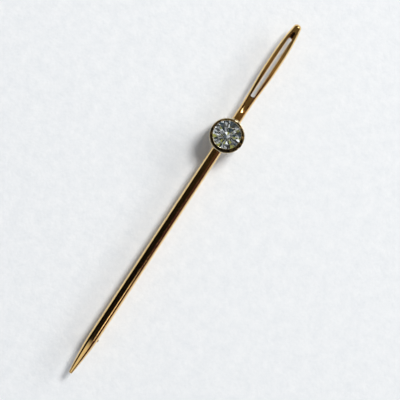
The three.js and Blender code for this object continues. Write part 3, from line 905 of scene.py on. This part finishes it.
foot_low, foot_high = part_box("catch_foot")
foot = block("catch_foot_block", (foot_low + foot_high) / 2, foot_high - foot_low)
bpy.ops.object.mode_set(mode="EDIT")
bpy.ops.mesh.select_all(action="SELECT")
bpy.ops.mesh.subdivide(number_cuts=11)
bpy.ops.object.mode_set(mode="OBJECT")
for v in foot.data.vertices:
    up = (v.co.z - foot_low.z) / (foot_high.z - foot_low.z)
    ends = (v.co.x - catch_x) / (foot_high.x - catch_x)
    flare = 1 + 0.25 * abs(2 * up - 1) ** 3
    corner_in = 1 - 0.35 * max(0, abs(ends) - 0.8) / 0.2
    y = v.co.y * flare * corner_in
    # Its two faces are filed to the catch below and to the shaft above.
    bottom = catch_z + math.sqrt((barrel_radius + solder_gap) ** 2 - y ** 2)
    top = axis_z - math.sqrt((shaft_radius + solder_gap) ** 2 - y ** 2)
    v.co.y = y
    v.co.z = bottom + (top - bottom) * up
cleaned(foot, smooth_angle=50)
fitted(foot, fitting_gold, "bar", "yellow_gold", "catch_foot")


# The table: a sheet of white paper that the pin lies on.

deselect()
bpy.ops.mesh.primitive_plane_add(size=0.5, location=(0.02, -0.01, 0))
paper = bpy.context.object
paper.name = "paper"
paper_white = bpy.data.materials.new("paper_white")
paper_white.use_nodes = True
nodes, links = paper_white.node_tree.nodes, paper_white.node_tree.links
sheet = nodes["Principled BSDF"]
sheet.inputs["Roughness"].default_value = 0.85
sheet.inputs["Specular IOR Level"].default_value = 0.2
place = nodes.new("ShaderNodeTexCoord")
mottle = value_node(nodes, "ShaderNodeTexNoise", Scale=600.0, Detail=6.0, Roughness=0.78)
tone = nodes.new("ShaderNodeMix")
tone.data_type = "RGBA"
tone.inputs["A"].default_value = (0.72, 0.755, 0.79, 1)
tone.inputs["B"].default_value = (0.94, 0.945, 0.95, 1)
grain = value_node(nodes, "ShaderNodeTexNoise", Scale=1500.0, Detail=6.0, Roughness=0.6)
bump = value_node(nodes, "ShaderNodeBump", Strength=0.6, Distance=0.07 * mm)
links.new(place.outputs["Object"], mottle.inputs["Vector"])
links.new(place.outputs["Object"], grain.inputs["Vector"])
links.new(mottle.outputs["Fac"], tone.inputs["Factor"])
links.new(tone.outputs["Result"], sheet.inputs["Base Color"])
links.new(grain.outputs["Fac"], bump.inputs["Height"])
links.new(bump.outputs["Normal"], sheet.inputs["Normal"])
paper.data.materials.append(paper_white)


# The camera: almost straight down on the pin, leaning a few degrees to one side of it.

needle_turn = math.radians(56.6)
lean = math.radians(4.5)
lean_towards = Vector((0.9, 0.436, 0)).normalized()
out_of_picture = math.cos(lean) * Vector((0, 0, 1)) + math.sin(lean) * lean_towards
along_needle = (Vector((1, 0, 0)) - out_of_picture.x * out_of_picture).normalized()
across_needle = out_of_picture.cross(along_needle)
right = math.cos(needle_turn) * along_needle - math.sin(needle_turn) * across_needle
up = math.sin(needle_turn) * along_needle + math.cos(needle_turn) * across_needle
camera_far = 0.3
picture_width = 52.64 * mm
film_width = 36
picture_middle = Vector((0, 0, axis_z)) + right * 2.13 * mm + up * 0.03 * mm

camera = bpy.data.objects.new("camera", bpy.data.cameras.new("camera"))
bpy.context.collection.objects.link(camera)
camera.matrix_world = Matrix((
    (right.x, up.x, out_of_picture.x, picture_middle.x + camera_far * out_of_picture.x),
    (right.y, up.y, out_of_picture.y, picture_middle.y + camera_far * out_of_picture.y),
    (right.z, up.z, out_of_picture.z, picture_middle.z + camera_far * out_of_picture.z),
    (0, 0, 0, 1)))
camera.data.sensor_width = film_width
camera.data.lens = film_width * camera_far / picture_width
camera.data.clip_start = 0.01
bpy.context.scene.camera = camera
bpy.context.scene.view_settings.view_transform = "Standard"


# The light: a window beyond the head and a wider one to the right, in a dim room.
# Each window is two lamps: one that lights the paper, and a pane that shows only as a reflection. A
# small lamp on the shaft's right draws the thin bright line along it.

def lamp(name, turn, height, distance, width, tall, power, colour, aim=Vector((0, 0, 0))):
    """A soft light. Turn is its direction in the picture from the right, height its angle above the paper."""
    flat = math.cos(math.radians(turn)) * right + math.sin(math.radians(turn)) * up
    flat.z = 0
    climb = math.radians(height)
    direction = math.cos(climb) * flat.normalized() + math.sin(climb) * Vector((0, 0, 1))
    sideways = Vector((0, 0, 1)).cross(direction).normalized()
    upward = direction.cross(sideways)
    middle = aim + distance * direction
    light = bpy.data.lights.new(name, "AREA")
    light.shape = "RECTANGLE"
    light.size = width
    light.size_y = tall
    light.energy = power
    light.color = colour
    holder = bpy.data.objects.new(name, light)
    bpy.context.collection.objects.link(holder)
    holder.matrix_world = Matrix((
        (sideways.x, upward.x, direction.x, middle.x),
        (sideways.y, upward.y, direction.y, middle.y),
        (sideways.z, upward.z, direction.z, middle.z),
        (0, 0, 0, 1)))
    return holder


key = lamp("window", 44.5, 54, 1.2, 0.30, 0.30, 11.4, (1.0, 0.985, 0.96))
pane = lamp("far_pane", 56, 34, 1.2, 0.12, 0.26, 2.2, (1.0, 0.97, 0.90))
side = lamp("side_window", 20, 27, 1.2, 0.8, 0.3, 5.5, (1.0, 0.985, 0.965))
side_pane = lamp("side_pane", 24, 31, 1.2, 0.55, 0.26, 2.6, (1.0, 0.985, 0.965))
glint = lamp("lamp_line", -33.4, 51, 0.4, 0.028, 0.045, 0.014, (1.0, 0.9, 0.75),
             aim=Vector((-0.074, 0, axis_z)))
for light in (key, side):
    light.visible_glossy = False
    light.visible_transmission = False
for light in (pane, side_pane):
    light.visible_diffuse = False
    light.visible_transmission = False
glint.visible_diffuse = False

world = bpy.data.worlds.new("room")
bpy.context.scene.world = world
world.use_nodes = True
nodes, links = world.node_tree.nodes, world.node_tree.links


def room_light(colour, strength):
    """One part of the room, as even light of one colour."""
    part = nodes.new("ShaderNodeBackground")
    part.inputs["Color"].default_value = (*colour, 1)
    part.inputs["Strength"].default_value = strength
    return part


def room_mask(source, output, start, end):
    """How far a direction lies in one part of the room."""
    mask = value_node(nodes, "ShaderNodeMapRange", From_Min=start, From_Max=end)
    mask.interpolation_type = "SMOOTHSTEP"
    links.new(source.outputs[output], mask.inputs["Value"])
    return mask


def towards(direction):
    """How nearly a ray points one way."""
    dot = nodes.new("ShaderNodeVectorMath")
    dot.operation = "DOT_PRODUCT"
    links.new(sky.outputs["Generated"], dot.inputs[0])
    dot.inputs[1].default_value = direction.normalized()
    return dot


def both(a, b):
    """Where two masks overlap."""
    product = nodes.new("ShaderNodeMath")
    product.operation = "MULTIPLY"
    links.new(a.outputs[0], product.inputs[0])
    links.new(b.outputs[0], product.inputs[1])
    return product


def mixed(mask, under, over):
    """Lays one part of the room over another where its mask is white."""
    mix = nodes.new("ShaderNodeMixShader")
    links.new(mask.outputs[0], mix.inputs["Fac"])
    links.new(under.outputs[0], mix.inputs[1])
    links.new(over.outputs[0], mix.inputs[2])
    return mix


soft = nodes["Background"]
soft.inputs["Color"].default_value = (0.88, 0.93, 1.0, 1)
soft.inputs["Strength"].default_value = 0.27
sky = nodes.new("ShaderNodeTexCoord")
way = nodes.new("ShaderNodeSeparateXYZ")
links.new(sky.outputs["Generated"], way.inputs["Vector"])

# What the gold mirrors: a dark room, brownish on one side, a pale patch of ceiling past the point and a
# warm wall that shows in the head half.
dark_room = room_light((0.5, 0.45, 0.38), 0.006)
brown_side = room_light((0.95, 0.40, 0.55), 0.062)
pale_ceiling = room_light((1.0, 0.93, 0.8), 0.75)
metal_sees = mixed(room_mask(way, "Y", -0.2, -0.62), dark_room, brown_side)
behind_point = both(room_mask(way, "X", -0.17, -0.3), room_mask(way, "Z", 0.62, 0.8))
metal_sees = mixed(behind_point, metal_sees, pale_ceiling)
warm_wall = room_light((1.0, 0.68, 0.30), 0.34)
dim_wall = room_light((1.0, 0.8, 0.5), 0.11)
wall_ahead = mixed(room_mask(way, "X", -0.010, 0.012), warm_wall, dim_wall)
metal_sees = mixed(room_mask(way, "X", -0.031, -0.018), metal_sees, wall_ahead)

# What the stone gathers: bright and dark parts of the whole room, which its facets break up.
patches = value_node(nodes, "ShaderNodeTexNoise", Scale=4.2, Detail=2.0, Roughness=0.5)
links.new(sky.outputs["Generated"], patches.inputs["Vector"])
dim_room = room_light((0.50, 0.58, 0.56), 0.08)
grey_room = room_light((0.90, 0.95, 0.97), 0.58)
bright_room = room_light((0.94, 0.98, 1.0), 1.5)
green_room = room_light((0.78, 0.80, 0.22), 0.55)
blue_room = room_light((0.25, 0.45, 0.60), 0.16)
stone_sees = mixed(room_mask(patches, "Fac", 0.43, 0.52), dim_room, grey_room)
below = Vector((0, 0, 1.1)) - up
beyond = Vector((0, 0, 1.1)) + math.cos(math.radians(50)) * right + math.sin(math.radians(50)) * up
stone_sees = mixed(room_mask(towards(below), "Value", 0.82, 0.90), stone_sees, green_room)
stone_sees = mixed(room_mask(towards(beyond), "Value", 0.82, 0.90), stone_sees, blue_room)
stone_sees = mixed(room_mask(patches, "Fac", 0.57, 0.62), stone_sees, bright_room)
overhead = room_light((0.30, 0.36, 0.30), 0.12)
stone_sees = mixed(room_mask(way, "Z", 0.93, 0.985), stone_sees, overhead)

ray = nodes.new("ShaderNodeLightPath")
for mask_output, seen in (("Is Glossy Ray", metal_sees), ("Is Transmission Ray", stone_sees)):
    mix = nodes.new("ShaderNodeMixShader")
    links.new(ray.outputs[mask_output], mix.inputs["Fac"])
    links.new(soft.outputs[0], mix.inputs[1])
    links.new(seen.outputs[0], mix.inputs[2])
    soft = mix
links.new(soft.outputs[0], nodes["World Output"].inputs["Surface"])

deselect()
